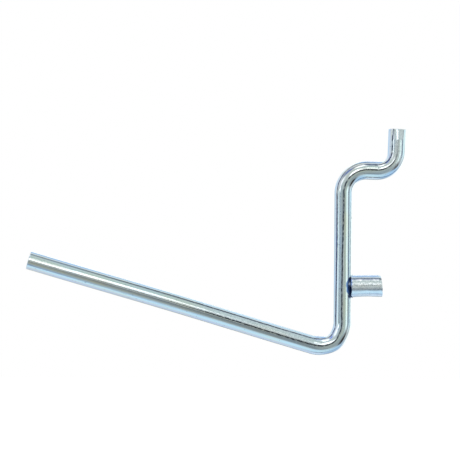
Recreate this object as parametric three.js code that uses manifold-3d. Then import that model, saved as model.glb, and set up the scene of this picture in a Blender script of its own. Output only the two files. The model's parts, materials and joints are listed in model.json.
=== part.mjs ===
// Single-arm hook for a perforated tool panel.
//
// One steel rod is bent three times in one plane. From its free end it is the arm, the upright, the run that
// passes through a hole of the panel, and the stub that stands up behind the panel. A short, thicker peg is
// welded on the back of the upright and sits in the next hole below, so the hook can't swing or lift off.
//
// Units are millimetres. +Z is up, +Y points into the panel, and the plane x = 0 is the plane of the bends.
// The origin is the middle of the upper panel hole, on the panel's front face, which is also the plane that
// the back of the upright lies against. The run's axis passes that hole's middle half way through the panel.

import * as THREE from "three";
import { mergeVertices } from "three/addons/utils/BufferGeometryUtils.js";
import Module from "manifold-3d";

const { degToRad } = THREE.MathUtils;

// ---- driving dimensions -------------------------------------------------------------------------------------

const INCH = 25.4;
const PANEL_PITCH = 1 * INCH; // from one row of the panel's holes to the next
const PANEL_THICKNESS = (1 / 4) * INCH;
const ROD_RADIUS = (5 / 64) * INCH;
const ARM_LENGTH = 71.6; // from the arm's tip to where its axis crosses the upright's
const ARM_RISE = degToRad(16.3); // how far the arm climbs above level
const UPRIGHT_LENGTH = 40.4; // between the places where the arm's and the run's axes cross the upright's
const RUN_LENGTH = 11.5; // between the places where the upright's and the stub's axes cross the run's
const RUN_DROOP = degToRad(1.8); // the run falls a little towards the back
const STUB_LENGTH = 9.3; // from the run's axis to the end of the stub

const LOWER_BEND_RADIUS = 5.2; // all bend radii are those of the rod's axis
const UPPER_BEND_RADIUS = 5;
const STUB_BEND_RADIUS = 4.4;

const PEG_RADIUS = (3 / 32) * INCH;
const PEG_PROJECTION = 6.6; // from the panel's front face to the peg's free end
const PEG_SINK = 0.2; // how far the weld pressed the peg's foot into the rod
const PEG_EDGE_BREAK = 0.2;

const BEAD_RADIUS = 0.7; // leg of the bead of weld metal in the corner between peg and rod
const BEAD_HALF_WIDTH = 1.25; // the beads lie on the middle of the rod's back
const WELD_GAP = 0.3; // clearance between welded neighbours

// ---- fineness of the facets ---------------------------------------------------------------------------------

const ROUND_SIDES = 32;
const BEAD_SIDES = 16;
const BEND_STEPS = 12;
const LONGEST_SPAN = 17;

// ---- derived places -----------------------------------------------------------------------------------------

const UPRIGHT_Y = -ROD_RADIUS;
const PEG_Z = -PANEL_PITCH;
const RUN_START_Z = (PANEL_THICKNESS / 2 - UPRIGHT_Y) * Math.tan(RUN_DROOP); // so it's level with the hole inside it
const STUB_LEAN = Math.PI / 2 - RUN_DROOP; // the last bend is square, so the stub leans back as the run falls

const wasm = await Module();
wasm.setup();

/** A point in the plane of the bends. */
function inPlane(y, z) {
  return new THREE.Vector3(0, y, z);
}

/** A point at a distance and an angle above +Y from another point, in the plane of the bends. */
function outFrom(point, distance, angle) {
  return point.clone().add(inPlane(distance * Math.cos(angle), distance * Math.sin(angle)));
}

/** Where the axes of the rod's straight legs meet, with the two free ends first and last. */
function rodCorners() {
  const upperCorner = inPlane(UPRIGHT_Y, RUN_START_Z);
  const lowerCorner = inPlane(UPRIGHT_Y, RUN_START_Z - UPRIGHT_LENGTH);
  const armTip = outFrom(lowerCorner, ARM_LENGTH, Math.PI - ARM_RISE);
  const stubCorner = outFrom(upperCorner, RUN_LENGTH, -RUN_DROOP);
  const stubEnd = outFrom(stubCorner, STUB_LENGTH, STUB_LEAN);
  return [armTip, lowerCorner, upperCorner, stubCorner, stubEnd];
}

/** A curve through stations, each a point with a direction, that are close together only in the bends. */
class StationCurve extends THREE.Curve {
  constructor(stations) {
    super();
    this.stations = stations;
  }

  stationAt(u) {
    return this.stations[Math.round(u * (this.stations.length - 1))];
  }

  getPointAt(u, target = new THREE.Vector3()) {
    return target.copy(this.stationAt(u).point);
  }

  getTangentAt(u, target = new THREE.Vector3()) {
    return target.copy(this.stationAt(u).direction);
  }
}

/** Adds stations along a straight leg, from the last station to the given point. */
function addLeg(stations, end, direction) {
  const start = stations.at(-1).point;
  const spans = Math.ceil(start.distanceTo(end) / LONGEST_SPAN);
  for (let span = 1; span <= spans; span += 1) {
    stations.push({ point: start.clone().lerp(end, span / spans), direction });
  }
}

/** Adds stations round a bend that starts at the last station and turns into a new direction. */
function addBend(stations, radius, newDirection) {
  const { point: start, direction } = stations.at(-1);
  const hinge = direction.clone().cross(newDirection).normalize();
  const turn = direction.angleTo(newDirection);
  const toCentre = hinge.clone().cross(direction).multiplyScalar(radius);
  const centre = start.clone().add(toCentre);
  for (let step = 1; step <= BEND_STEPS; step += 1) {
    const angle = (turn * step) / BEND_STEPS;
    const spoke = toCentre.clone().negate().applyAxisAngle(hinge, angle);
    stations.push({
      point: centre.clone().add(spoke),
      direction: direction.clone().applyAxisAngle(hinge, angle),
    });
  }
}

/** The rod's axis: straight legs between the corners, with a round bend at each inner corner. */
function rodAxis(corners, bendRadii) {
  const directions = corners
    .slice(1)
    .map((corner, index) => corner.clone().sub(corners[index]).normalize());
  const stations = [{ point: corners[0], direction: directions[0] }];
  bendRadii.forEach((radius, index) => {
    const halfTurn = directions[index].angleTo(directions[index + 1]) / 2;
    const setback = radius * Math.tan(halfTurn);
    const bendStart = corners[index + 1].clone().addScaledVector(directions[index], -setback);
    addLeg(stations, bendStart, directions[index]);
    addBend(stations, radius, directions[index + 1]);
  });
  addLeg(stations, corners.at(-1), directions.at(-1));
  return new StationCurve(stations);
}

/** A round bar swept along a curve of stations. */
function sweptBar(axis, radius) {
  const section = new THREE.Shape().absarc(0, 0, radius, 0, 2 * Math.PI);
  return new THREE.ExtrudeGeometry(section, {
    curveSegments: ROUND_SIDES / 2,
    steps: axis.stations.length - 1,
    extrudePath: axis,
  });
}

/** A closed mesh as a solid that can be cut. */
function solidOf(geometry) {
  geometry.deleteAttribute("normal");
  geometry.deleteAttribute("uv");
  const merged = mergeVertices(geometry);
  return new wasm.Manifold(
    new wasm.Mesh({
      numProp: 3,
      vertProperties: merged.attributes.position.array,
      triVerts: Uint32Array.from(merged.index.array),
    }),
  );
}

/** A cut solid as a geometry again. */
function geometryOf(solid) {
  const { vertProperties, triVerts } = solid.getMesh();
  const geometry = new THREE.BufferGeometry();
  geometry.setAttribute("position", new THREE.BufferAttribute(vertProperties, 3));
  geometry.setIndex(new THREE.BufferAttribute(triVerts, 1));
  return geometry;
}

/** A round bar along the peg's axis, from one distance behind the panel's front face to another. */
function barAlongPeg(radius, fromY, toY) {
  const bar = new THREE.CylinderGeometry(radius, radius, toY - fromY, ROUND_SIDES);
  return solidOf(bar.translate(0, (fromY + toY) / 2, PEG_Z));
}

/** The bent rod, with the shallow seat that the weld melted into its back for the peg's foot. */
function hookRodGeometry() {
  const bendRadii = [LOWER_BEND_RADIUS, UPPER_BEND_RADIUS, STUB_BEND_RADIUS];
  const rod = solidOf(sweptBar(rodAxis(rodCorners(), bendRadii), ROD_RADIUS));
  const seat = barAlongPeg(PEG_RADIUS + WELD_GAP, -PEG_SINK - WELD_GAP, ROD_RADIUS);
  return geometryOf(rod.subtract(seat));
}

/** The peg, a cropped bar whose free end has lost its sharp edge. */
function panelPegGeometry() {
  const profile = [
    new THREE.Vector2(0, -PEG_SINK),
    new THREE.Vector2(PEG_RADIUS, -PEG_SINK),
    new THREE.Vector2(PEG_RADIUS, PEG_PROJECTION - PEG_EDGE_BREAK),
    new THREE.Vector2(PEG_RADIUS - PEG_EDGE_BREAK, PEG_PROJECTION),
    new THREE.Vector2(0, PEG_PROJECTION),
  ];
  return new THREE.LatheGeometry(profile, ROUND_SIDES).translate(0, 0, PEG_Z);
}

/** A full ring of bead in the corner between the peg and the plane of the rod's back. */
function beadRing() {
  const profile = [];
  for (let side = 0; side <= BEAD_SIDES; side += 1) {
    const angle = (2 * Math.PI * (side % BEAD_SIDES)) / BEAD_SIDES;
    const outward = PEG_RADIUS + BEAD_RADIUS * Math.cos(angle);
    profile.push(new THREE.Vector2(outward, BEAD_RADIUS * Math.sin(angle)));
  }
  return solidOf(new THREE.LatheGeometry(profile, ROUND_SIDES).translate(0, 0, PEG_Z));
}

/** The bead of weld metal above the peg, side 1, or below it, side -1. */
function weldBeadGeometry(side) {
  const height = PEG_RADIUS + 2 * BEAD_RADIUS;
  const keep = new THREE.BoxGeometry(2 * BEAD_HALF_WIDTH, 4 * BEAD_RADIUS, height);
  keep.translate(0, 0, PEG_Z + (side * height) / 2);
  const rod = new THREE.CylinderGeometry(
    ROD_RADIUS + WELD_GAP,
    ROD_RADIUS + WELD_GAP,
    4 * height,
    ROUND_SIDES,
  );
  rod.rotateX(Math.PI / 2).translate(0, UPRIGHT_Y, PEG_Z);
  const peg = barAlongPeg(PEG_RADIUS + WELD_GAP, -2 * BEAD_RADIUS, PEG_PROJECTION);
  return geometryOf(beadRing().intersect(solidOf(keep)).subtract(solidOf(rod)).subtract(peg));
}

/** Bright zinc plate, bluish and glossy on drawn rod. */
function platedRod() {
  return new THREE.MeshStandardMaterial({ color: 0xc3d3da, roughness: 0.22, metalness: 1 });
}

/** The same plate on the rougher surface of the cropped peg. */
function platedPeg() {
  return new THREE.MeshStandardMaterial({ color: 0xb9c6c9, roughness: 0.38, metalness: 1 });
}

/** Weld metal, dull and darker under its thin plate. */
function weldMetal() {
  return new THREE.MeshStandardMaterial({ color: 0x6f7a84, roughness: 0.5, metalness: 1 });
}

function namedMesh(name, geometry, material) {
  const mesh = new THREE.Mesh(geometry, material);
  mesh.name = name;
  return mesh;
}

const hook = new THREE.Group();
hook.add(
  namedMesh("hook_rod", hookRodGeometry(), platedRod()),
  namedMesh("panel_peg", panelPegGeometry(), platedPeg()),
  namedMesh("upper_weld_bead", weldBeadGeometry(1), weldMetal()),
  namedMesh("lower_weld_bead", weldBeadGeometry(-1), weldMetal()),
);

export default hook;
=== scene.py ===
import json
import math
from typing import NamedTuple

import bpy
import numpy as np
from mathutils import Matrix, Vector


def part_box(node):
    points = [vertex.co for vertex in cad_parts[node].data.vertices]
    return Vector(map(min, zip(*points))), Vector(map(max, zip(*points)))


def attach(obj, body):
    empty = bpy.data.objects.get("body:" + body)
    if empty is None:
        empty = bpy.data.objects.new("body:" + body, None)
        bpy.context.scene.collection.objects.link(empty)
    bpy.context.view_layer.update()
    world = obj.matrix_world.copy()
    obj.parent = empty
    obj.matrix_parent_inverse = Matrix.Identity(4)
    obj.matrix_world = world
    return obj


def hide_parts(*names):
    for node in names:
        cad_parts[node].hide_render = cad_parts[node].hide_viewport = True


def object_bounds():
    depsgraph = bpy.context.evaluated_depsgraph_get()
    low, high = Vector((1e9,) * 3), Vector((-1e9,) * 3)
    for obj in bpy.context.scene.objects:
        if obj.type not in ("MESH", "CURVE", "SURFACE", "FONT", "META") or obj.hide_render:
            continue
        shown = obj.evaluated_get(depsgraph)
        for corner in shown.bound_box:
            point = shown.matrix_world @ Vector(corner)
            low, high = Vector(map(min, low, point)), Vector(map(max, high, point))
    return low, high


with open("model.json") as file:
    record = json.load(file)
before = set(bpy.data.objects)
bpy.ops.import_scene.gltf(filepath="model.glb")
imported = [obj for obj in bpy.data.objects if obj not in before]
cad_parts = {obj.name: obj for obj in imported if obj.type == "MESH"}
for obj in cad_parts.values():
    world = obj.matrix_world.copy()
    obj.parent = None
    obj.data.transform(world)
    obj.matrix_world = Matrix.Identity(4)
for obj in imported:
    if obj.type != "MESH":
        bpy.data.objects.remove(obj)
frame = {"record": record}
cad_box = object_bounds()

# A bright zinc-plated steel hook for a perforated tool panel. Four pieces stand for the four CAD
# nodes: the bent rod, the peg that is welded on its back, and the weld metal above and below the peg's
# foot. Everything is in metres, in the CAD model's own frame: +Z is up, +Y points into the panel, the
# panel's front face is the plane y = 0, and the rod is bent in the plane x = 0.

MM = 0.001
UPPER = 1  # the weld above the peg's foot
LOWER = -1  # the weld below it

# ---- kinds of values --------------------------------------------------------------------------------


class Waves(NamedTuple):
    """A smooth random surface, made of waves of mixed lengths and directions."""

    height: float
    number: int
    shortest: float
    longest: float
    seed: int

    def at(self, *coordinates, variant=0):
        """Its height at some coordinates. Each variant has waves of its own."""
        random = np.random.default_rng(self.seed + variant)
        total = 0.0
        for _ in range(self.number):
            length = self.shortest * (self.longest / self.shortest) ** random.random()
            way = random.normal(size=len(coordinates))
            way /= np.linalg.norm(way)
            phase = random.uniform(0, 2 * math.pi)
            travel = sum(part * coordinate for part, coordinate in zip(way, coordinates))
            total = total + np.sin(2 * math.pi * travel / length + phase)
        return self.height * (total / math.sqrt(self.number))


class PaintedReflection(NamedTuple):
    """A painted reflection: a dark line painted along the rod. Lengths are in mm from the arm's tip."""

    course: tuple  # knots of a length and an angle in degrees, to the right of the side that faces +X
    half_width: float  # in degrees
    strength: float
    start: float  # the length at which the line begins to show
    full: float  # the length at which it has its whole strength
    fading: float  # the length at which it begins to fade


class Span(NamedTuple):
    """A straight leg or a bend of the rod's axis."""

    start: np.ndarray
    heading: float  # the angle above +Y, where it starts
    length: float
    curvature: float = 0.0
    dent: float = 0.0


class Plate(NamedTuple):
    """The look of the zinc on one piece."""

    cool: tuple  # its two tints
    warm: tuple
    smoothest: float  # its lowest and its highest roughness
    roughest: float
    beading: float  # how strong its unevenness is
    mottling: float  # how strong the grain is where it's scuffed


class Card(NamedTuple):
    """A soft coloured ellipse that hangs round the object and shows in its plate. In degrees."""

    bearing: float  # clockwise from straight up, as the camera sees it
    off: float  # from the line between the object and the camera
    half_along: float  # half the card's width in the direction in which off grows
    half_across: float
    softness: float  # how much of that half width its edge fades over
    shade: tuple


# ---- sizes that the CAD model gives -----------------------------------------------------------------

peg_low, peg_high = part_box("panel_peg")
mounts = {mount["name"]: mount for mount in frame["record"]["mounts"]}

ROD_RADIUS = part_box("hook_rod")[1].x
PEG_RADIUS = peg_high.x
PEG_LENGTH = peg_high.y
PEG_Z = (peg_low.z + peg_high.z) / 2

# ---- the rod ----------------------------------------------------------------------------------------

PANEL_THICKNESS = 6.35 * MM
BEND_RADII = (5.2 * MM, 5.0 * MM, 4.4 * MM)  # of the rod's axis: lower bend, upper bend, stub's bend
INNER_DENTS = (0.03 * MM, 0.06 * MM, 0.28 * MM)  # how far the bending pin flattened each bend's inside
OUTER_THINNING = 0.02 * MM
BEND_BULGE = 0.06 * MM  # the sides of a bend swell a little
LOWER_KINK = 0.22 * MM  # the lower bend is tightest in its middle, so its axis lies further out there
LOWER_KINK_SPREAD = 0.18  # as a share of the bend's length
SHOULDER_HEIGHT = 0.16 * MM  # metal pushed up on the inside, where the lower bend begins
SHOULDER_LENGTH = 1.2 * MM
ARM_BOW = 0.13 * MM  # the arm isn't quite straight: its middle stands this much high
STUB_PINCH = 0.34 * MM  # the shear pinched one side of the stub's end, this deep at the cut
STUB_PINCH_LENGTH = 2.4 * MM
STUB_PINCH_ANGLE = 0.04
ROD_WAVINESS = Waves(0.004 * MM, number=14, shortest=5 * MM, longest=22 * MM, seed=11)
BEND_RIPPLES = Waves(0.010 * MM, number=16, shortest=1.2 * MM, longest=4 * MM, seed=12)
ROD_EDGE = 0.12 * MM  # rounding of the cropped ends
ROD_STEP = 0.2 * MM
ROD_FACE_SEEDS = (31, 41)
ROUNDING_SLACK = 1e-12  # keeps the last ring on the axis, whatever rounding does to its place

# ---- the marks on the rod ---------------------------------------------------------------------------

SPATTER_HEIGHT = 0.16 * MM  # a drop of weld metal on the side that faces +X, next to the peg's foot
SPATTER_SIZE = 0.30 * MM
SPATTER_GAP = 0.50 * MM  # how far its middle lies off the panel
SPATTER_RISE = 0.56 * MM  # how far its middle lies above the peg's axis
SPATTER_CLEARS = 2.4  # it hides the marks under it, wherever its height is over 1/2.4 of its top's
SPATTER_HIGHLIGHT = 2.2  # and it carries a painted highlight, pale all through, wherever its height is over 1/2.2 of its top's

HEAT_GAP = 1.50 * MM  # the heat tint, and a painted reflection of the peg's foot, reach round the rod to where its surface is this far off the panel
HEAT_HALF_HEIGHT = 2.4 * MM  # and this far above and below the peg's axis
HEAT_TIP = 0.96  # the share of that height at which its tint starts to fade
HEAT_EDGE = (-0.12 * MM, 0.06 * MM)  # where it starts and ends to fade, from the line that it reached
SHADE_EDGE = (0.65 * MM, 1.15 * MM)  # how far off the panel the painted shade starts and ends to fade
HEAT_RAGGEDNESS = Waves(0.05 * MM, number=16, shortest=0.5 * MM, longest=2 * MM, seed=21)
# Painted shadow: black spots at the top and bottom ends of the crevice beside the peg's foot.
SHADOW_SPOTS = (
    # off the panel, above the peg's axis, radius of the black core, radius of the whole spot
    (0.60 * MM, 0.74 * PEG_RADIUS, 0.15 * MM, 0.35 * MM),
    (0.56 * MM, -0.88 * PEG_RADIUS, 0.30 * MM, 0.52 * MM),
)

# Painted reflections: dark lines painted along the rod, where its plate shows dark reflections.
PAINTED_REFLECTIONS = (
    PaintedReflection(
        course=((0, -39), (32, -50), (58, -45), (68, -52), (76, -58), (92, -46), (100, -47), (112, -62)),
        half_width=3.8,
        strength=0.95,
        start=2,
        full=40,
        fading=108,
    ),
    PaintedReflection(
        course=((0, -38), (114, -38), (118, -37), (124, -38)),
        half_width=5.5,
        strength=1.0,
        start=94,
        full=118,
        fading=122,
    ),
    PaintedReflection(
        course=((0, 44), (80, 44), (90, 46), (104, 50), (124, 52)),
        half_width=3.6,
        strength=0.7,
        start=58,
        full=82,
        fading=115,
    ),
    PaintedReflection(
        course=((0, -8), (45, -6), (60, -2), (68, -4), (76, -13), (84, -12), (91, -9), (98, -4)),
        half_width=4.6,
        strength=1.0,
        start=33,
        full=44,
        fading=114,
    ),
)
PAINTED_REFLECTION_FADE = 8  # in mm, from where a line starts to fade to where it's gone
PAINTED_REFLECTION_WANDER = Waves(0.8, number=8, shortest=2 * MM, longest=9 * MM, seed=23)  # in degrees
PAINTED_REFLECTION_QUIVER = Waves(0.6, number=12, shortest=0.8 * MM, longest=2 * MM, seed=31)  # in degrees
PAINTED_REFLECTION_BEADS = Waves(0.30, number=14, shortest=0.7 * MM, longest=2.6 * MM, seed=27)
PAINTED_REFLECTION_MEAN = 0.92  # the share of its strength that the beads vary it round
PAINTED_REFLECTION_WEAKEST = 0.45  # the least share that they leave

# Where the rod is rough: the start, full strength, fading and end of a strip, along the rod in mm from
# the arm's tip, and round it in degrees to the right of the side that faces +X. The strip on the stub
# goes on to the stub's end.
ARM_SCUFF_LENGTHS = (30, 46, 58, 74)
ARM_SCUFF_ANGLES = (-46, -34, -10, -4)
STUB_SCUFF_LENGTHS = (114, 118)
STUB_SCUFF_ANGLES = (-30, -20, 24, 36)

# ---- the peg ----------------------------------------------------------------------------------------

# Angles round the peg are in radians, down from the side that faces +X.
PEG_TILT = math.radians(0.95)
PEG_SINK = 0.42 * MM  # how far the weld pressed the foot into the rod's back
PEG_EDGE = 0.1 * MM
PEG_STEP = 0.1 * MM
PEG_FACE_SEEDS = (61, 71)
PEG_WAIST = 0.11 * MM  # how much thinner the underside is between the foot and the free end
PEG_UPSET = 0.03 * MM  # how much thicker the weld left the foot
PEG_UPSET_LENGTH = 0.5 * MM
PEG_ROLLOVER = 0.16 * MM  # the shear pulled the top edge of the free end down
PEG_ROLLOVER_LENGTH = 0.9 * MM
PEG_SLANT = 0.3 * MM  # the top of the peg is this much shorter than its bottom
PEG_NICK = 0.05 * MM  # the depth of a nick in the edge of the free end
PEG_NICK_ANGLE = 0.5
PEG_NICK_SPREAD = 0.12
PEG_SQUASH = 0.17 * MM  # how far the weld squashed the foot back on the side that faces +X
PEG_SQUASH_ANGLE = 0.35
PEG_SQUASH_SPREAD = 0.35
PEG_SQUASH_END = 0.8 * MM
PEG_DINGS = Waves(0.009 * MM, number=18, shortest=0.8 * MM, longest=3.5 * MM, seed=51)
PEG_WAVINESS = Waves(0.012 * MM, number=10, shortest=4 * MM, longest=9 * MM, seed=52)

PEG_DIRT_ANGLE = 0.36  # a dark spot on the side, at the edge of the free end
PEG_DIRT_SPREAD = 0.10
PEG_DIRT_LENGTH = 0.35 * MM
PEG_HEAT_END = -0.12 * MM  # the y at which the heat tint on the foot ends
PEG_HEAT_RAGGEDNESS = Waves(0.12 * MM, number=16, shortest=0.4 * MM, longest=2 * MM, seed=81)
PEG_PAINTED_REFLECTIONS = (
    # angle, spread, strength of a painted reflection, a dark line along the peg
    (-0.775, 0.11, 0.60),
    (0.25, 0.08, 0.40),
)
PEG_REFLECTION_WANDER = Waves(0.03, number=5, shortest=3 * MM, longest=8 * MM, seed=83)
PEG_SCUFF_ANGLES = (-0.70, -0.50, 0.22, 0.36)  # start, full strength, fading and end of a rough strip

# ---- the cropped faces of the rod and the peg -------------------------------------------------------

BAR_SIDES = 128
EDGE_RINGS = 5
FACE_RINGS = 14
BURNISHED_TO = -0.25 * ROD_RADIUS  # across a face, to the right of the bar's heading, it's smooth up
TORN_FROM = 0.10 * ROD_RADIUS  # to the first of these places and torn from the second
TORN_DEPTH = 0.05 * MM
TORN_GRAIN = Waves(0.035 * MM, number=24, shortest=0.18 * MM, longest=0.9 * MM, seed=0)
BURNISH = Waves(0.006 * MM, number=8, shortest=0.12 * MM, longest=0.3 * MM, seed=1)
RELIEF_MARGIN = 0.2  # the share of the radius over which the relief grows in from the rim

RING_ANGLES = np.arange(BAR_SIDES) * 2 * math.pi / BAR_SIDES
FACE_SHARES = np.linspace(1, 0, FACE_RINGS + 2)[1:-1]

# ---- the welds --------------------------------------------------------------------------------------

WELD_LEGS = {UPPER: 0.24 * MM, LOWER: 0.28 * MM}
WELD_HALF_WIDTH = 1.25 * MM
WELD_THINNEST = 0.25  # the share of its leg that a fillet has left at its flanks
WELD_HOLLOW = 0.15  # how far its face sinks in, as a share of its leg
WELD_UNEVENNESS = Waves(0.16, number=9, shortest=0.2, longest=0.8, seed=91)
WELD_RIPPLES = Waves(0.012 * MM, number=14, shortest=0.25 * MM, longest=0.9 * MM, seed=95)
WELD_OVERLAP = 0.02 * MM  # its face ends this far inside the peg
WELD_INTO_PEG = 0.4 * MM  # its hidden side lies this deep in the peg
WELD_INTO_ROD = 0.3 * MM  # and this deep in the rod
WELD_TOE = 0.1 * MM  # the hidden side's corners are cut back by this much
WELD_FACE_POINTS = 10
WELD_STEPS = 60

# ---- the camera and the floor -----------------------------------------------------------------------

CAMERA_AZIMUTH = math.radians(88)
CAMERA_DISTANCE = 0.40
CAMERA_ROLL = math.radians(0.4)
VIEW_WIDTH = 0.1006  # what the picture takes in, in the plane of the bends
VIEW_OFFSET = Vector((0.0, 2.9, 2.4)) * MM  # from the middle of the CAD box to that of the picture
FLOOR_DROP = 0.25
FLOOR_HALF_WIDTH = 3.0

# ---- shared shapes ----------------------------------------------------------------------------------


def rising(value, low, high):
    """0 below low, 1 above high, and smooth in between."""
    share = np.clip((value - low) / (high - low), 0, 1)
    return share * share * (3 - 2 * share)


def band(value, start, full, fading, end):
    """0 outside start and end, 1 between full and fading, and smooth in between."""
    return rising(value, start, full) * (1 - rising(value, fading, end))


def bell(value, centre, spread, power=2):
    """1 at the centre, falling off to both sides. A higher power gives it a flatter top."""
    return np.exp(-(((value - centre) / spread) ** power))


def signed_angle(theta):
    """The same angle between minus half a turn and half a turn."""
    return (theta + math.pi) % (2 * math.pi) - math.pi


def direction(heading):
    """The unit vector of a heading in the plane of the bends."""
    return np.array((0.0, math.cos(heading), math.sin(heading)))


def signed_volume(points, faces):
    """Positive where the faces point outwards."""
    triangles = [(face[0], face[i], face[i + 1]) for face in faces for i in range(1, len(face) - 1)]
    a, b, c = (points[np.array(triangles)[:, corner]] for corner in range(3))
    return float(np.einsum("ij,ij->i", a, np.cross(b, c)).sum())


def lofted_piece(name, rings, marks):
    """A closed mesh through rings of points, with each end closed on its middle, and with its marks."""
    count, sides = rings.shape[:2]
    middles = np.stack((rings[0].mean(axis=0), rings[-1].mean(axis=0)))
    points = np.concatenate((rings.reshape(-1, 3), middles))
    ring = np.arange(count - 1)[:, None] * sides
    here = np.arange(sides)[None, :]
    after = (here + 1) % sides
    quads = np.stack((ring + here, ring + after, ring + sides + after, ring + sides + here), axis=-1)
    faces = quads.reshape(-1, 4).tolist()
    last = (count - 1) * sides
    for side in range(sides):
        following = (side + 1) % sides
        faces.append((count * sides, following, side))
        faces.append((count * sides + 1, last + side, last + following))
    mesh = bpy.data.meshes.new(name)
    mesh.from_pydata(points.tolist(), [], faces)
    for label, values in marks.items():
        by_ring = values.reshape(count, sides, -1)
        ends = np.stack((by_ring[0].mean(axis=0), by_ring[-1].mean(axis=0)))
        data = np.concatenate((by_ring.reshape(count * sides, -1), ends)).astype(np.float32)
        if data.shape[1] == 3:
            mesh.attributes.new(label, "FLOAT_VECTOR", "POINT").data.foreach_set("vector", data.ravel())
        else:
            mesh.attributes.new(label, "FLOAT", "POINT").data.foreach_set("value", data.ravel())
    if signed_volume(points, faces) < 0:
        mesh.flip_normals()
    mesh.shade_smooth()
    mesh.update()
    piece = bpy.data.objects.new(name, mesh)
    bpy.context.scene.collection.objects.link(piece)
    return piece


# ---- round bars with cropped ends -------------------------------------------------------------------


def ring_places(start, end, edge, count):
    """Where along a bar its rings lie. They are closest round the edges of its cropped ends."""
    rounding = edge * (1 - np.cos(np.linspace(0, math.pi / 2, EDGE_RINGS + 1)))[:-1]
    middle = np.linspace(start + edge, end - edge, count)
    return np.concatenate((start + rounding, middle, end - rounding[::-1]))


def rounded_off(from_end, edge):
    """How much smaller the radius is on the rounded edge of a cropped end."""
    cut = np.clip(1 - from_end / edge, 0, 1)
    return edge * (1 - np.sqrt(1 - cut * cut))


def ring_points(centre, heading, radius):
    """Points round a bar, from the side that faces +X over the right of its heading."""
    across = radius * np.sin(RING_ANGLES)
    x = radius * np.cos(RING_ANGLES)
    y = centre[..., 0] + across * np.sin(heading)
    z = centre[..., 1] - across * np.cos(heading)
    return np.stack((x, y, z), axis=-1)


def sheared_relief(x, across, seed):
    """How deep a cropped face lies: a smooth burnished side, and a torn side below it."""
    torn = rising(across, BURNISHED_TO, TORN_FROM)
    torn_depth = TORN_DEPTH + TORN_GRAIN.at(x, across, variant=seed)
    return torn * torn_depth + (1 - torn) * BURNISH.at(x, variant=seed)


def cropped_face(rim, centre, outward, radius, seed):
    """Rings that close in from the rim of a cropped end, with the relief that the shear left."""
    middle = np.array((0.0, *centre))
    rings = []
    for share in FACE_SHARES:
        x = share * radius * np.cos(RING_ANGLES)
        across = share * radius * np.sin(RING_ANGLES)
        depth = sheared_relief(x, across, seed) * rising(1 - share, 0, RELIEF_MARGIN)
        rings.append(middle + share * (rim - middle) - depth[:, None] * outward)
    return np.stack(rings)


def with_face_rings(side, radius, centres, headings, seeds):
    """The rings of a bar's side, between those of its first cropped face and those of its last."""
    first = cropped_face(side[0], centres[0], -direction(headings[0]), radius[0], seeds[0])
    last = cropped_face(side[-1], centres[1], direction(headings[1]), radius[-1], seeds[1])
    return np.concatenate((first[::-1], side, last))


def with_face_values(side, first=0.0, last=0.0):
    """Values on a bar's side, between one value for its first cropped face and one for its last."""
    face = np.ones((FACE_RINGS, BAR_SIDES))
    return np.concatenate((first * face, side, last * face))


def bar_flow(radius, along):
    """Coordinates that the marks of drawing follow: round a bar, along it, and in across its faces."""
    x = radius * np.cos(RING_ANGLES)
    across = radius * np.sin(RING_ANGLES)
    side = np.stack(np.broadcast_arrays(x, across, along), axis=-1)
    closing = np.ones((FACE_RINGS, 1, 3))
    closing[..., :2] = FACE_SHARES[:, None, None]
    return np.concatenate(((side[:1] * closing)[::-1], side, side[-1:] * closing))


# ---- the rod's axis ---------------------------------------------------------------------------------


def in_plane(vector):
    """The y and z of a point or direction: the rod is bent in the plane x = 0."""
    return np.array(vector, float)[1:]


def crossing(point_a, along_a, point_b, along_b):
    """Where two lines in the plane of the bends cross."""
    steps = np.linalg.solve(np.column_stack((along_a, -along_b)), point_b - point_a)
    return point_a + steps[0] * along_a


def axis_corners():
    """The rod's two ends, and between them the corners where the axes of its straight legs cross."""
    tip = in_plane(mounts["arm_tip"]["pos_m"])
    arm_out = in_plane(mounts["arm_tip"]["axis"])
    stub_end = in_plane(mounts["stub_end"]["pos_m"])
    stub_up = in_plane(mounts["stub_end"]["axis"])
    run_back = np.array((stub_up[1], -stub_up[0]))
    upright = np.array((-ROD_RADIUS, 0.0))
    up = np.array((0.0, 1.0))
    mid_panel = np.array((PANEL_THICKNESS / 2, 0.0))
    lower = crossing(tip, arm_out, upright, up)
    upper = crossing(mid_panel, run_back, upright, up)
    stub_corner = crossing(mid_panel, run_back, stub_end, stub_up)
    return [tip, lower, upper, stub_corner, stub_end]


def axis_spans(corners):
    """The straight legs and the bends of the rod's axis, in order from the arm's tip."""
    steps = [after - before for before, after in zip(corners, corners[1:])]
    headings = [math.atan2(step[1], step[0]) for step in steps]
    spans = []
    start = corners[0]
    for index, radius in enumerate(BEND_RADII):
        corner = corners[index + 1]
        before, after = headings[index : index + 2]
        turn = after - before
        setback = radius * math.tan(abs(turn) / 2)
        bend_start = corner - setback * direction(before)[1:]
        curvature = math.copysign(1 / radius, turn)
        spans.append(Span(start, before, np.linalg.norm(corner - start) - setback))
        spans.append(Span(bend_start, before, radius * abs(turn), curvature, INNER_DENTS[index]))
        start = corner + setback * direction(after)[1:]
    spans.append(Span(start, headings[-1], np.linalg.norm(corners[-1] - start)))
    return spans


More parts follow.
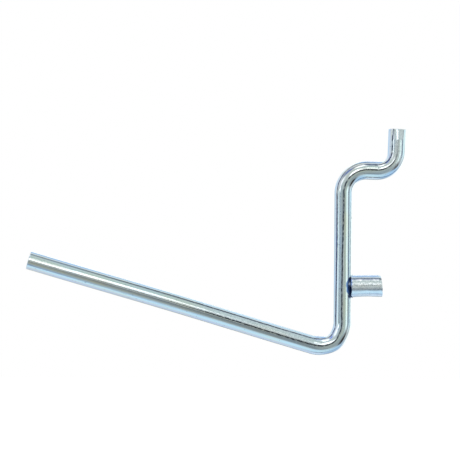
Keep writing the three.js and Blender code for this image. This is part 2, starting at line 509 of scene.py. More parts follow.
def trace(spans, arc):
    """Point, heading, curvature, dent and share of the bend gone through, at lengths of the axis."""
    point = np.zeros((len(arc), 2))
    heading, curvature, dent, through = np.zeros((4, len(arc)))
    begin = 0.0
    for span in spans:
        here = (arc >= begin) & (arc <= begin + span.length + ROUNDING_SLACK)
        gone = arc[here] - begin
        bend = span.curvature
        heading[here] = span.heading + bend * gone
        curvature[here] = bend
        dent[here] = span.dent
        if bend:
            sine = (np.sin(heading[here]) - math.sin(span.heading)) / bend
            cosine = (math.cos(span.heading) - np.cos(heading[here])) / bend
            point[here] = span.start + np.column_stack((sine, cosine))
            through[here] = gone / span.length
        else:
            point[here] = span.start + gone[:, None] * direction(span.heading)[1:]
        begin += span.length
    return point, heading, curvature, dent, through


# ---- the bent rod -----------------------------------------------------------------------------------


def rod_radius(arc, curvature, dent, through, lower_bend_start):
    """The rod's radius, with what drawing and bending did to it."""
    x = ROD_RADIUS * np.cos(RING_ANGLES)
    across = ROD_RADIUS * np.sin(RING_ANGLES)
    inside = -np.sin(RING_ANGLES) * np.sign(curvature)
    bent = np.sin(math.pi * through) ** 2
    shoulder = bell(arc, lower_bend_start + SHOULDER_LENGTH, SHOULDER_LENGTH)
    radius = ROD_RADIUS + bent * BEND_BULGE * np.cos(RING_ANGLES) ** 2
    radius = radius - bent * dent * np.clip(inside, 0, 1) ** 3
    radius = radius - bent * OUTER_THINNING * np.clip(-inside, 0, 1) ** 2
    radius = radius + SHOULDER_HEIGHT * shoulder * np.clip(-np.sin(RING_ANGLES), 0, 1) ** 2
    return radius + ROD_WAVINESS.at(arc, x, across) + bent * BEND_RIPPLES.at(arc, x, across)


def stub_pinch(from_end):
    """How far the shear pinched the stub in."""
    depth = STUB_PINCH * np.clip(1 - from_end / STUB_PINCH_LENGTH, 0, 1)
    return depth * np.clip(np.cos(RING_ANGLES - STUB_PINCH_ANGLE), 0, 1) ** 2


def spatter(points):
    """The drop of weld metal that froze on the side of the rod that faces +X: 1 on its top."""
    away = np.hypot(points[..., 1] + SPATTER_GAP, points[..., 2] - PEG_Z - SPATTER_RISE)
    return np.where(points[..., 0] > 0, bell(away, 0, SPATTER_SIZE), 0)


def weld_marks(points):
    """Painted shade, heat tint with painted reflection, and painted shadow on the rod, next to the peg's
    foot.
    """
    gap = -points[..., 1]
    above = points[..., 2] - PEG_Z
    ragged_gap = gap + HEAT_RAGGEDNESS.at(points[..., 0], above)
    reached = HEAT_GAP * np.clip(1 - np.abs(above / HEAT_HALF_HEIGHT) ** 3, 0, 1)
    within = 1 - rising(np.abs(above), HEAT_TIP * HEAT_HALF_HEIGHT, HEAT_HALF_HEIGHT)
    within = within * (1 - np.clip(SPATTER_CLEARS * spatter(points), 0, 1))
    # Heat tint, and over it a painted reflection of the peg's dark blue foot.
    heat_and_reflection = within * (1 - rising(ragged_gap, reached + HEAT_EDGE[0], reached + HEAT_EDGE[1]))
    # Painted shade, in the crevice close to the panel.
    dirt_and_shade = heat_and_reflection * (1 - rising(ragged_gap, *SHADE_EDGE))
    # Painted shadow at the ends of the crevice.
    painted_shadow = np.zeros(gap.shape)
    for spot_gap, spot_height, core, whole in SHADOW_SPOTS:
        away = np.hypot(gap - spot_gap, above - spot_height)
        painted_shadow = np.maximum(painted_shadow, 1 - rising(away, core, whole))
    return np.maximum(dirt_and_shade, painted_shadow), np.maximum(heat_and_reflection, painted_shadow), painted_shadow


def painted_reflections(arc):
    """How dark the painted reflections are: lines painted along the rod. They are beaded, and wind a
    little.
    """
    turned = np.degrees(signed_angle(RING_ANGLES))
    length = arc / MM
    dark = np.zeros((len(arc), BAR_SIDES))
    for number, line in enumerate(PAINTED_REFLECTIONS):
        wander = PAINTED_REFLECTION_WANDER.at(arc, variant=number) + PAINTED_REFLECTION_QUIVER.at(arc, variant=number)
        angle = np.interp(length, *np.array(line.course).T) + wander
        beads = np.clip(PAINTED_REFLECTION_MEAN + PAINTED_REFLECTION_BEADS.at(arc, variant=number), PAINTED_REFLECTION_WEAKEST, 1)
        shown = band(length, line.start, line.full, line.fading, line.fading + PAINTED_REFLECTION_FADE)
        across_line = bell(turned, angle, line.half_width, power=4)
        dark = np.maximum(dark, line.strength * beads * shown * across_line)
    return dark


def scuffs(arc):
    """How rough the rod is: in a strip along the arm's second half, and where the stub was gripped."""
    turned = np.degrees(signed_angle(RING_ANGLES))
    on_arm = band(arc / MM, *ARM_SCUFF_LENGTHS) * band(turned, *ARM_SCUFF_ANGLES)
    on_stub = rising(arc / MM, *STUB_SCUFF_LENGTHS) * band(turned, *STUB_SCUFF_ANGLES)
    return np.maximum(on_arm, on_stub)


def bent_rod():
    """The hook's rod, swept along its axis."""
    spans = axis_spans(axis_corners())
    arm, lower_bend = spans[:2]
    total = sum(span.length for span in spans)
    arc = ring_places(0.0, total, ROD_EDGE, round(total / ROD_STEP))
    point, heading, *bending = trace(spans, arc)
    bow = ARM_BOW * np.sin(math.pi * np.clip(arc / arm.length, 0, 1)) ** 2
    kink = LOWER_KINK * bell((arc - arm.length) / lower_bend.length, 0.5, LOWER_KINK_SPREAD)
    left = np.column_stack((-np.sin(heading), np.cos(heading)))
    point = point + (bow - kink)[:, None] * left

    arc = arc[:, None]
    radius = rod_radius(arc, *(values[:, None] for values in bending), arm.length)
    radius = radius - rounded_off(np.minimum(arc, total - arc), ROD_EDGE) - stub_pinch(total - arc)
    side = ring_points(point[:, None, :], heading[:, None], radius)
    radius = radius + SPATTER_HEIGHT * spatter(side)
    side = ring_points(point[:, None, :], heading[:, None], radius)
    rings = with_face_rings(side, radius, point[[0, -1]], heading[[0, -1]], ROD_FACE_SEEDS)

    dirt_and_shade, heat_and_reflection, painted_shadow = weld_marks(rings)
    marks = {
        "flow": bar_flow(ROD_RADIUS, arc),
        # painted shade in the crevice beside the peg's foot
        "dirt_and_shade": dirt_and_shade,
        # heat tint, with a painted reflection of the peg's foot
        "heat_tint_and_reflection": heat_and_reflection,
        # painted shadow at the ends of the crevice, and painted reflections along the rod
        "painted_reflection_and_shadow": np.maximum(painted_shadow, with_face_values(painted_reflections(arc))),
        "scuffed": with_face_values(scuffs(arc)),
        "cropped": with_face_values(np.zeros(radius.shape), first=1.0, last=1.0),
        # a painted highlight on the spatter's top
        "painted_highlight": np.clip(SPATTER_HIGHLIGHT * spatter(rings), 0, 1),
    }
    return lofted_piece("bent_rod", rings, marks)


# ---- the peg ----------------------------------------------------------------------------------------


def peg_radius(along):
    """The peg's radius: a slight waist underneath, a thick foot, and a free end that is pulled down."""
    x = PEG_RADIUS * np.cos(RING_ANGLES)
    across = PEG_RADIUS * np.sin(RING_ANGLES)
    low = np.clip(np.sin(RING_ANGLES), 0, 1)
    high = np.clip(-np.sin(RING_ANGLES), 0, 1)
    to_end = rising(along, PEG_LENGTH - PEG_ROLLOVER_LENGTH, PEG_LENGTH)
    radius = PEG_RADIUS - PEG_WAIST * low**2 * np.sin(math.pi * np.clip(along / PEG_LENGTH, 0, 1)) ** 2
    radius = radius + PEG_UPSET * bell(along, 0, PEG_UPSET_LENGTH)
    radius = radius - PEG_ROLLOVER * high**2 * to_end**2
    return radius + PEG_DINGS.at(along, x, across) + PEG_WAVINESS.at(along, x, across)


def peg_reach(along):
    """How far along its axis each point of the peg lies: its end slants, and its foot is squashed."""
    slant = PEG_SLANT * (0.5 - 0.5 * np.sin(RING_ANGLES))
    nick = PEG_NICK * bell(RING_ANGLES, PEG_NICK_ANGLE, PEG_NICK_SPREAD)
    squash = PEG_SQUASH * bell(RING_ANGLES, PEG_SQUASH_ANGLE, PEG_SQUASH_SPREAD)
    reach = along - (slant + nick) * rising(along, 0.5 * PEG_LENGTH, PEG_LENGTH)
    return reach + squash * (1 - rising(along, -PEG_SINK, PEG_SQUASH_END))


def peg_painted_reflections(along):
    """How dark the painted reflections along the peg are."""
    facing = signed_angle(RING_ANGLES) + PEG_REFLECTION_WANDER.at(along)
    dark = np.zeros(facing.shape)
    for angle, spread, strength in PEG_PAINTED_REFLECTIONS:
        dark = np.maximum(dark, strength * bell(facing, angle, spread))
    return dark


def welded_peg():
    """The cropped bar behind the upright, with its foot on the rod and its free end slanted."""
    along = ring_places(-PEG_SINK, PEG_LENGTH, PEG_EDGE, round(PEG_LENGTH / PEG_STEP))[:, None]
    from_end = np.minimum(along + PEG_SINK, PEG_LENGTH - along)
    radius = peg_radius(along) - rounded_off(from_end, PEG_EDGE)
    axis = direction(PEG_TILT)[1:]
    side = ring_points(np.array((0.0, PEG_Z)) + peg_reach(along)[..., None] * axis, PEG_TILT, radius)
    centres = side[[0, -1], :, 1:].mean(axis=1)
    rings = with_face_rings(side, radius, centres, (PEG_TILT, PEG_TILT), PEG_FACE_SEEDS)

    dirt = bell(RING_ANGLES, PEG_DIRT_ANGLE, PEG_DIRT_SPREAD)
    dirt = dirt * rising(along, PEG_LENGTH - PEG_DIRT_LENGTH, PEG_LENGTH)
    ragged_y = rings[..., 1] + PEG_HEAT_RAGGEDNESS.at(rings[..., 0], rings[..., 2])
    scuffed = np.broadcast_to(band(signed_angle(RING_ANGLES), *PEG_SCUFF_ANGLES), radius.shape)
    marks = {
        "flow": bar_flow(PEG_RADIUS, along),
        # the foot face is painted dark all over as painted shade, which the rod's plate reflects; the
        # spot at the free end is dirt
        "dirt_and_shade": with_face_values(dirt, first=1.0),
        "heat_tint_and_reflection": 1 - rising(ragged_y, -PEG_SINK, PEG_HEAT_END),
        # painted reflections along the peg
        "painted_reflection_and_shadow": with_face_values(peg_painted_reflections(along)),
        "scuffed": with_face_values(scuffed),
        "cropped": with_face_values(np.zeros(radius.shape), last=1.0),
        "painted_highlight": np.zeros(rings.shape[:2]),
    }
    return lofted_piece("welded_peg", rings, marks)


# ---- the weld metal ---------------------------------------------------------------------------------


def rod_back(x):
    """How far the rod's surface lies in front of its back line, at a distance x from that line."""
    return ROD_RADIUS - np.sqrt(ROD_RADIUS**2 - x * x)


def weld_fillet(name, side):
    """The fillet above or below the peg's foot. It thins out towards both flanks."""
    widest = math.asin(WELD_HALF_WIDTH / PEG_RADIUS)
    turn = np.linspace(-widest, widest, WELD_STEPS)[:, None]
    fullness = WELD_THINNEST + (1 - WELD_THINNEST) * np.cos(turn / widest * math.pi / 2) ** 2
    leg = WELD_LEGS[side] * (1 + WELD_UNEVENNESS.at(turn, variant=side)) * fullness
    outer = PEG_RADIUS + leg
    inner = np.full(leg.shape, PEG_RADIUS - WELD_OVERLAP)
    low = -rod_back(outer * np.sin(turn))

    share = np.linspace(0, 1, WELD_FACE_POINTS)[None, :]
    swell = np.sin(math.pi * share)
    reach = outer + (inner - outer) * share
    ripples = WELD_RIPPLES.at(PEG_RADIUS * turn, reach, variant=side)
    rise = low + (leg - low) * share + (ripples - WELD_HOLLOW * leg) * swell

    in_peg = inner - WELD_INTO_PEG
    in_rod = low - WELD_INTO_ROD
    hidden_reach = (in_peg, in_peg, outer - WELD_INTO_PEG, outer - WELD_TOE)
    hidden_rise = (leg, low - WELD_TOE, in_rod, in_rod)
    reach = np.concatenate((reach, *hidden_reach), axis=1)
    rise = np.concatenate((rise, *hidden_rise), axis=1)
    rings = np.stack((reach * np.sin(turn), rise, PEG_Z + side * reach * np.cos(turn)), axis=-1)
    # The upper fillet is plated; the lower one is left burnt-dark, as painted shade at the bottom of the
    # joint.
    plated_unshaded = np.full(rings.shape[:2], 1.0 if side == UPPER else 0.0)
    return lofted_piece(name, rings, {"flow": rings.copy(), "plated_unshaded": plated_unshaded})


# ---- materials --------------------------------------------------------------------------------------


def colour(red, green, blue):
    """An opaque colour."""
    return (red, green, blue, 1.0)


ROD_PLATE = Plate(
    cool=colour(0.76, 0.84, 0.89),
    warm=colour(0.80, 0.84, 0.81),
    smoothest=0.10,
    roughest=0.18,
    beading=0.55,
    mottling=0.7,
)
PEG_PLATE = Plate(
    cool=colour(0.84, 0.90, 0.94),
    warm=colour(0.86, 0.89, 0.88),
    smoothest=0.16,
    roughest=0.26,
    beading=0.9,
    mottling=0.75,
)
WORN = colour(0.50, 0.56, 0.60)
MOTTLED = colour(0.50, 0.57, 0.60)
SPECKED = colour(0.22, 0.24, 0.26)
# The colour of the heat tint, and of the painted reflection of the peg's foot.
HEAT_AND_REFLECTION_BLUE = colour(0.09, 0.19, 0.44)
# The colour of the painted shade, and of dirt.
DIRT_AND_SHADE_COLOUR = colour(0.015, 0.055, 0.17)
# The colour of the painted reflections and the painted shadow.
PAINTED_DARK = colour(0.014, 0.024, 0.065)
# The colour of the painted highlight on the spatter.
PAINTED_HIGHLIGHT = colour(0.52, 0.66, 0.80)
ZINC_GLINT = colour(0.86, 0.94, 1.0)
# Between which values of their noise these come in, and how strong they get.
WARM_RANGE = (0.38, 0.64)
WEAR_RANGE = (0.35, 0.75)
WEAR_STRENGTH = 0.22
MOTTLE_RANGE = (0.42, 0.56)
SPECK_RANGE = (0.76, 0.80)
SPECK_STRENGTH = 0.5
HEAT_AND_REFLECTION_STRENGTH = 0.95
LINE_GLOSS_RANGE = (0.30, 0.70)
# The least roughness where these are at their strongest.
TORN_ROUGHNESS = 0.42
DIRT_AND_SHADE_ROUGHNESS = 0.36
# How much of the metal's mirror each of these takes away.
DIRT_AND_SHADE_DULLNESS = 0.6
MOTTLE_DULLNESS = 0.38
HIGHLIGHT_DULLNESS = 0.9
# The height of the plate's relief, and how much of it each of these has.
PLATE_RELIEF = 0.01 * MM
LINE_RELIEF = 0.10
MOTTLE_RELIEF = 0.22
TORN_RELIEF = 2.0

# Burnt weld metal, which the lower fillet shows all over as painted shade.
BURNT_SHADE_DARK = colour(0.008, 0.010, 0.018)
BURNT_SHADE_BLUE = colour(0.030, 0.055, 0.11)
BURNT_RANGE = (0.36, 0.62)
PLATED_WELD = colour(0.52, 0.62, 0.68)
PLATED_SPOT_RANGE = (0.60, 0.70)
PLATED_SPOT_STRENGTH = 0.7
WELD_GLOSS_RANGE = (0.3, 0.7)
WELD_ROUGHNESS = (0.26, 0.48)
WELD_METALLIC = 0.8
WELD_RELIEF = 0.03 * MM
WELD_GRAIN_RELIEF = 0.35

FLOOR_WHITE = colour(0.92, 0.92, 0.92)


class Nodes:
    """Short names for making and joining the nodes of one tree."""

    def __init__(self, tree):
        self.tree = tree
        tree.nodes.clear()

    def add(self, kind, settings=None, **inputs):
        """A node with its settings, and its inputs as numbers, colours or other nodes' outputs."""
        node = self.tree.nodes.new(kind)
        for key, value in (settings or {}).items():
            setattr(node, key, value)
        for key, value in inputs.items():
            self.feed(node.inputs[key.replace("_", " ")], value)
        return node

    def feed(self, socket, value):
        """Links a node's output to an input, or sets the input to a value."""
        if isinstance(value, bpy.types.NodeSocket):
            self.tree.links.new(value, socket)
        else:
            socket.default_value = value

    def finish(self, kind, shader):
        """Sends a shader to the tree's output."""
        self.add(kind, Surface=shader.outputs[0])

    def attribute(self, label, output="Fac"):
        """The values that a mesh has at its points."""
        return self.add("ShaderNodeAttribute", {"attribute_name": label}).outputs[output]

    def math(self, operation, *values):
        """The result of an operation on numbers."""
        node = self.add("ShaderNodeMath", {"operation": operation})
        for socket, value in zip(node.inputs, values):
            self.feed(socket, value)
        return node.outputs[0]

    def times(self, first, second):
        """Two values multiplied."""
        return self.math("MULTIPLY", first, second)

    def total(self, first, *others):
        """Values added up."""
        for other in others:
            first = self.math("ADD", first, other)
        return first

    def largest(self, first, *others):
        """The largest of some values."""
        for other in others:
            first = self.math("MAXIMUM", first, other)
        return first

    def noise(self, vector, size, detail, roughness=0.5, along=1.0):
        """Noise with spots of about this size, which are longer along the bar if along is under 1."""
        scaled = self.add("ShaderNodeVectorMath", {"operation": "MULTIPLY"})
        self.feed(scaled.inputs[0], vector)
        self.feed(scaled.inputs[1], (1, 1, along))
        node = self.add("ShaderNodeTexNoise", Scale=1 / size, Detail=detail, Roughness=roughness)
        self.feed(node.inputs["Vector"], scaled.outputs[0])
        return node.outputs["Fac"]

    def fade(self, value, low, high, to_low=0.0, to_high=1.0):
        """A value carried smoothly from one range into another."""
        node = self.add("ShaderNodeMapRange", {"interpolation_type": "SMOOTHSTEP"})
        for socket, number in zip(node.inputs, (value, low, high, to_low, to_high)):
            self.feed(socket, number)
        return node.outputs[0]

    def mix(self, share, first, second):
        """The first colour where share is 0, and the second where it's 1."""
        node = self.add("ShaderNodeMix", {"data_type": "RGBA"})
        self.feed(node.inputs[0], share)
        self.feed(node.inputs[6], first)
        self.feed(node.inputs[7], second)
        return node.outputs[2]


def new_material(name):
    """An empty material and its nodes."""
    material = bpy.data.materials.new(name)
    material.use_nodes = True
    return material, Nodes(material.node_tree)


def zinc_plate(name, plate):
    """Bright zinc on steel, with drawing lines and what dirt, wear, heat and cropping did to it, and
    with painted shade, shadow, reflections and a highlight.
    """
    material, nodes = new_material(name)
    flow = nodes.attribute("flow", "Vector")
    dirt_and_shade = nodes.attribute("dirt_and_shade")
    heat_tint_and_reflection = nodes.attribute("heat_tint_and_reflection")
    painted_reflection_and_shadow = nodes.attribute("painted_reflection_and_shadow")
    cropped = nodes.attribute("cropped")
    painted_highlight = nodes.attribute("painted_highlight")
    scuffed = nodes.times(nodes.attribute("scuffed"), plate.mottling)
    lines = nodes.noise(flow, size=0.16 * MM, detail=3, roughness=0.6, along=0.02)
    clouds = nodes.noise(flow, size=2.2 * MM, detail=2, along=0.35)
    beads = nodes.noise(flow, size=0.75 * MM, detail=1, roughness=0.4, along=0.8)
    grain = nodes.noise(flow, size=0.24 * MM, detail=3, roughness=0.65, along=0.7)
    specks = nodes.noise(flow, size=0.32 * MM, detail=0)

    tint = nodes.mix(nodes.fade(clouds, *WARM_RANGE), plate.cool, plate.warm)
    tint = nodes.mix(nodes.fade(lines, *WEAR_RANGE, to_high=WEAR_STRENGTH), tint, WORN)
    tint = nodes.mix(nodes.times(nodes.fade(grain, *MOTTLE_RANGE), scuffed), tint, MOTTLED)
    tint = nodes.mix(nodes.fade(specks, *SPECK_RANGE, to_high=SPECK_STRENGTH), tint, SPECKED)
    # Heat tint, and on the rod a painted reflection of the peg's foot.
    tint = nodes.mix(nodes.times(heat_tint_and_reflection, HEAT_AND_REFLECTION_STRENGTH), tint, HEAT_AND_REFLECTION_BLUE)
    # Painted shade, in the crevice and on the peg's foot face, and dirt.
    tint = nodes.mix(dirt_and_shade, tint, DIRT_AND_SHADE_COLOUR)
    # Painted reflections and painted shadow, dark on the plate.
    tint = nodes.mix(painted_reflection_and_shadow, tint, PAINTED_DARK)
    # A painted highlight, pale and matt, on the spatter's top.
    tint = nodes.mix(painted_highlight, tint, PAINTED_HIGHLIGHT)

    roughness = nodes.largest(
        nodes.fade(lines, *LINE_GLOSS_RANGE, plate.smoothest, plate.roughest),
        nodes.times(cropped, TORN_ROUGHNESS),
        nodes.times(dirt_and_shade, DIRT_AND_SHADE_ROUGHNESS),
    )
    dullness = nodes.largest(
        nodes.times(dirt_and_shade, DIRT_AND_SHADE_DULLNESS),
        nodes.times(scuffed, MOTTLE_DULLNESS),
        nodes.times(painted_highlight, HIGHLIGHT_DULLNESS),
    )
    height = nodes.total(
        nodes.times(beads, plate.beading),
        nodes.times(lines, LINE_RELIEF),
        nodes.times(grain, nodes.times(scuffed, MOTTLE_RELIEF)),
        nodes.times(cropped, nodes.times(grain, TORN_RELIEF)),
    )
    bump = nodes.add("ShaderNodeBump", Strength=1.0, Distance=PLATE_RELIEF, Height=height)

    shader = nodes.add("ShaderNodeBsdfPrincipled", Base_Color=tint, Roughness=roughness)
    shader.inputs["Specular Tint"].default_value = ZINC_GLINT
    nodes.feed(shader.inputs["Metallic"], nodes.math("SUBTRACT", 1.0, dullness))
    nodes.feed(shader.inputs["Normal"], bump.outputs[0])
    nodes.finish("ShaderNodeOutputMaterial", shader)
    return material


def weld_steel():
    """Weld metal: dark, blue and dull from the heat, but bright in spots and where it's plated; the
    lower fillet is kept dark as painted shade.
    """
    material, nodes = new_material("weld_steel")
    flow = nodes.attribute("flow", "Vector")
    scale = nodes.noise(flow, size=0.5 * MM, detail=3, roughness=0.6)
    grain = nodes.noise(flow, size=0.14 * MM, detail=2, roughness=0.6)
    clouds = nodes.noise(flow, size=0.8 * MM, detail=1)
    spots = nodes.fade(clouds, *PLATED_SPOT_RANGE, to_high=PLATED_SPOT_STRENGTH)
    # Burnt weld metal, with painted shade on the lower fillet.
    burnt_and_shaded = nodes.mix(nodes.fade(scale, *BURNT_RANGE), BURNT_SHADE_DARK, BURNT_SHADE_BLUE)
    tint = nodes.mix(nodes.largest(spots, nodes.attribute("plated_unshaded")), burnt_and_shaded, PLATED_WELD)
    roughness = nodes.fade(grain, *WELD_GLOSS_RANGE, *WELD_ROUGHNESS)
    height = nodes.total(scale, nodes.times(grain, WELD_GRAIN_RELIEF))
    bump = nodes.add("ShaderNodeBump", Strength=1.0, Distance=WELD_RELIEF, Height=height)
    shader = nodes.add("ShaderNodeBsdfPrincipled", Base_Color=tint, Roughness=roughness)
    shader.inputs["Metallic"].default_value = WELD_METALLIC
    nodes.feed(shader.inputs["Normal"], bump.outputs[0])
    nodes.finish("ShaderNodeOutputMaterial", shader)
    return material


def floor_paint():
    """Matt white paint."""
    material, nodes = new_material("floor_paint")
    nodes.finish("ShaderNodeOutputMaterial", nodes.add("ShaderNodeBsdfDiffuse", Color=FLOOR_WHITE))
    return material


# ---- the camera -------------------------------------------------------------------------------------

towards_camera = Vector((math.sin(CAMERA_AZIMUTH), -math.cos(CAMERA_AZIMUTH), 0.0))
picture_up = Vector((0.0, 0.0, 1.0))
picture_right = picture_up.cross(towards_camera)


def add_camera():
    """A long lens that looks along the panel's face, nearly square to the plane of the bends."""
    data = bpy.data.cameras.new("camera")
    data.lens = data.sensor_width * CAMERA_DISTANCE / VIEW_WIDTH
    camera = bpy.data.objects.new("camera", data)
    target = (cad_box[0] + cad_box[1]) / 2 + VIEW_OFFSET
    turned = Matrix.Rotation(CAMERA_ROLL, 3, towards_camera)
    axes = Matrix((turned @ picture_right, turned @ picture_up, towards_camera)).transposed()
    camera.matrix_world = Matrix.Translation(target + CAMERA_DISTANCE * towards_camera) @ axes.to_4x4()
    bpy.context.scene.collection.objects.link(camera)
    bpy.context.scene.camera = camera


# ---- the light --------------------------------------------------------------------------------------

# What shows in the plate. Later cards hang in front of earlier ones.
CARDS = (
    # bearing, off, half along, half across, softness, (red, green, blue)
    Card(-165, 24, 20, 10, 0.6, (0.37, 0.38, 0.32)),
    Card(172, 44, 10, 12, 0.5, (0.15, 0.18, 0.22)),
    Card(180, 24, 17, 4.5, 0.4, (0.19, 0.235, 0.275)),
    Card(150, 84, 26, 30, 0.6, (0.48, 0.72, 0.99)),
    Card(128, 34, 24, 22, 0.6, (0.34, 0.40, 0.42)),
    Card(179, 63, 7, 9, 0.5, (0.50, 0.63, 1.02)),
    Card(179, 9, 6, 5, 0.5, (0.15, 0.155, 0.18)),
    Card(-172, 70, 22, 26, 0.6, (0.68, 0.93, 1.08)),
    Card(-163, 116, 14, 12, 0.6, (0.62, 0.70, 0.92)),
    Card(-158, 53, 11, 6, 0.5, (0.28, 0.36, 0.48)),
    Card(150, 118, 12, 22, 0.5, (0.42, 0.62, 0.92)),
    Card(179, 92, 6, 10, 0.5, (0.36, 0.46, 0.62)),
    Card(180, 128, 14, 10, 0.5, (0.80, 0.92, 1.08)),
    Card(98, 142, 26, 26, 0.5, (1.40, 1.42, 1.45)),
    Card(93, 20, 18, 9, 0.6, (0.52, 0.58, 0.50)),
    Card(92, 44, 10, 10, 0.5, (1.10, 1.28, 1.22)),
    Card(91, 70, 8, 12, 0.6, (0.10, 0.17, 0.28)),
    Card(91, 93, 11, 14, 0.6, (0.86, 1.15, 1.26)),
    Card(122, 66, 15, 13, 0.5, (0.03, 0.02, 0.02)),
    Card(16, 55, 22, 14, 0.6, (0.56, 0.68, 0.65)),
    Card(17, 90, 11, 10, 0.6, (0.20, 0.27, 0.33)),
    Card(16, 132, 16, 16, 0.6, (0.66, 0.88, 1.02)),
    Card(-35, 76, 9, 12, 0.6, (0.20, 0.32, 0.95)),
    Card(-65, 100, 12, 18, 0.6, (0.62, 0.70, 0.98)),
    Card(-48, 94, 6, 26, 0.5, (0.24, 0.32, 0.58)),
    Card(2, 132, 22, 9, 0.5, (0.42, 0.60, 0.90)),
    Card(-64, 60, 13, 11, 0.6, (1.40, 1.42, 1.55)),
    Card(5, 76, 13, 6, 0.6, (0.36, 0.44, 0.68)),
    Card(-92, 41, 13, 16, 0.6, (0.37, 0.47, 0.55)),
    Card(-97, 58, 9, 4, 0.5, (0.20, 0.26, 0.30)),
    Card(-81, 53, 7, 4, 0.4, (1.80, 1.90, 1.95)),
    Card(-90, 72, 7, 7, 0.4, (0.92, 1.14, 1.26)),
    Card(-94, 101, 13, 6, 0.5, (0.02, 0.06, 0.26)),
    Card(-92, 138, 18, 24, 0.6, (0.66, 0.82, 1.00)),
    Card(-5, 47, 6, 12, 0.4, (0.34, 0.46, 0.50)),
    Card(-6, 68, 12, 11, 0.5, (2.00, 2.00, 2.00)),
    Card(-8, 26, 11, 7, 0.5, (1.90, 1.90, 1.90)),
    Card(-6, 17, 4.5, 8, 0.5, (2.40, 2.40, 2.40)),
    Card(10, 16, 5, 3.5, 0.5, (2.60, 2.60, 2.60)),
    Card(18.5, 34, 6, 2.2, 0.4, (2.80, 2.80, 2.80)),
    Card(40, 10.5, 6, 7, 0.6, (0.07, 0.08, 0.09)),
    Card(-94, 15, 9, 4, 0.7, (0.22, 0.27, 0.33)),
)
REAR_LIMIT = 50  # the cards with a smaller off angle than this hang on the far side too
REAR_STRENGTH = 0.85  # the share of what is behind them that they cover there

WHITE = colour(1.0, 1.0, 1.0)
SIDE_LIGHT = (
    # what is behind all the cards, at angles in degrees off the line to the camera
    (0, WHITE),
    (7.2, colour(0.54, 0.60, 0.58)),
    (180, colour(1.00, 1.02, 1.05)),
)
DIFFUSE_STRENGTH = 1.2  # of the white light that matt surfaces gather


def card_pose(card, rear):
    """The rotation of a card, and the direction of its middle."""
    bearing = math.radians(card.bearing)
    off = math.radians(180 - card.off if rear else card.off)
    sideways = math.sin(bearing) * picture_right + math.cos(bearing) * picture_up
    centre = math.cos(off) * towards_camera + math.sin(off) * sideways
    outward = math.cos(off) * sideways - math.sin(off) * towards_camera
    axes = Matrix((outward, centre.cross(outward), centre)).transposed()
    return axes.to_euler(), centre


def hang_card(nodes, ray, behind, card, rear=False):
    """Lays one soft elliptical card over what is behind it."""
    rotation, centre = card_pose(card, rear)
    half_along = math.sin(math.radians(card.half_along))
    half_across = math.sin(math.radians(card.half_across))
    on_card = nodes.add("ShaderNodeMapping", {"vector_type": "TEXTURE"}, Vector=ray)
    on_card.inputs["Location"].default_value = centre
    on_card.inputs["Rotation"].default_value = rotation
    on_card.inputs["Scale"].default_value = (half_along, half_across, 1.0)
    away = nodes.add("ShaderNodeVectorMath", {"operation": "LENGTH"})
    nodes.feed(away.inputs[0], on_card.outputs[0])
    strength = REAR_STRENGTH if rear else 1.0
    share = nodes.fade(away.outputs["Value"], 1 - card.softness, 1 + card.softness, strength, 0.0)
    return nodes.mix(share, behind, colour(*card.shade))


def side_light(nodes, ray):
    """The light behind the cards, which changes with the angle off the line to the camera."""
    facing = nodes.add("ShaderNodeVectorMath", {"operation": "DOT_PRODUCT"})
    nodes.feed(facing.inputs[0], ray)
    facing.inputs[1].default_value = towards_camera
    nearness = nodes.math("MULTIPLY_ADD", facing.outputs["Value"], 0.5, 0.5)
    ramp = nodes.add("ShaderNodeValToRGB", Fac=nearness)
    stops = ramp.color_ramp.elements
    for off, shade in SIDE_LIGHT[1:-1]:
        stops.new((1 + math.cos(math.radians(off))) / 2).color = shade
    stops[0].color = SIDE_LIGHT[-1][1]
    stops[-1].color = SIDE_LIGHT[0][1]
    return ramp.outputs[0]


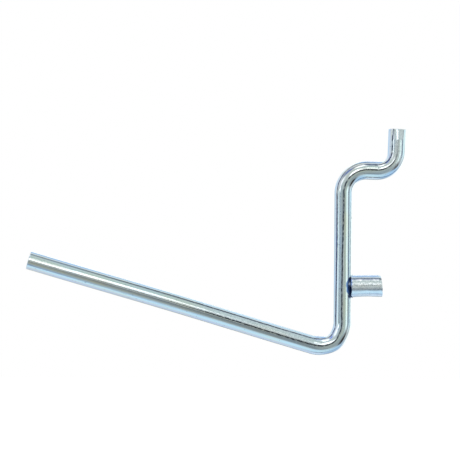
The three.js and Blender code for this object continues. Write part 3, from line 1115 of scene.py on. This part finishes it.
def light_world():
    """Soft white light all round. Only reflections show the cards: all else sees white."""
    world = bpy.data.worlds.new("studio")
    world.use_nodes = True
    world.cycles.sampling_method = "NONE"  # light this soft needs no map of where it comes from
    bpy.context.scene.world = world
    nodes = Nodes(world.node_tree)
    ray = nodes.add("ShaderNodeTexCoord").outputs["Generated"]
    pattern = side_light(nodes, ray)
    for card in CARDS:
        if card.off < REAR_LIMIT:
            pattern = hang_card(nodes, ray, pattern, card, rear=True)
    for card in CARDS:
        pattern = hang_card(nodes, ray, pattern, card)
    path = nodes.add("ShaderNodeLightPath")
    strength = nodes.fade(path.outputs["Is Diffuse Ray"], 0.0, 1.0, 1.0, DIFFUSE_STRENGTH)
    plain = nodes.add("ShaderNodeBackground", Color=WHITE, Strength=strength)
    reflected = nodes.add("ShaderNodeBackground", Color=pattern)
    choice = nodes.add("ShaderNodeMixShader", Fac=path.outputs["Is Glossy Ray"])
    nodes.feed(choice.inputs[1], plain.outputs[0])
    nodes.feed(choice.inputs[2], reflected.outputs[0])
    nodes.finish("ShaderNodeOutputWorld", choice)


def add_floor():
    """A plain white floor, well below the hook, which hangs clear of it."""
    low = cad_box[0].z - FLOOR_DROP
    near, far = -FLOOR_HALF_WIDTH, FLOOR_HALF_WIDTH
    mesh = bpy.data.meshes.new("floor")
    corners = [(near, near, low), (far, near, low), (far, far, low), (near, far, low)]
    mesh.from_pydata(corners, [], [(0, 1, 2, 3)])
    mesh.materials.append(floor_paint())
    floor = bpy.data.objects.new("floor", mesh)
    bpy.context.scene.collection.objects.link(floor)
    floor.visible_glossy = False


# ---- putting it together ----------------------------------------------------------------------------


def finish_piece(piece, material, node):
    """Gives a piece its finish and lets it stand for its CAD node."""
    piece.data.materials.append(material)
    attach(piece, "root")
    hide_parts(node)


add_camera()
light_world()
add_floor()

weld_metal = weld_steel()
finish_piece(bent_rod(), zinc_plate("rod_zinc", ROD_PLATE), "hook_rod")
finish_piece(welded_peg(), zinc_plate("peg_zinc", PEG_PLATE), "panel_peg")
finish_piece(weld_fillet("upper_weld", UPPER), weld_metal, "upper_weld_bead")
finish_piece(weld_fillet("lower_weld", LOWER), weld_metal, "lower_weld_bead")

bpy.context.scene.view_settings.view_transform = "Standard"
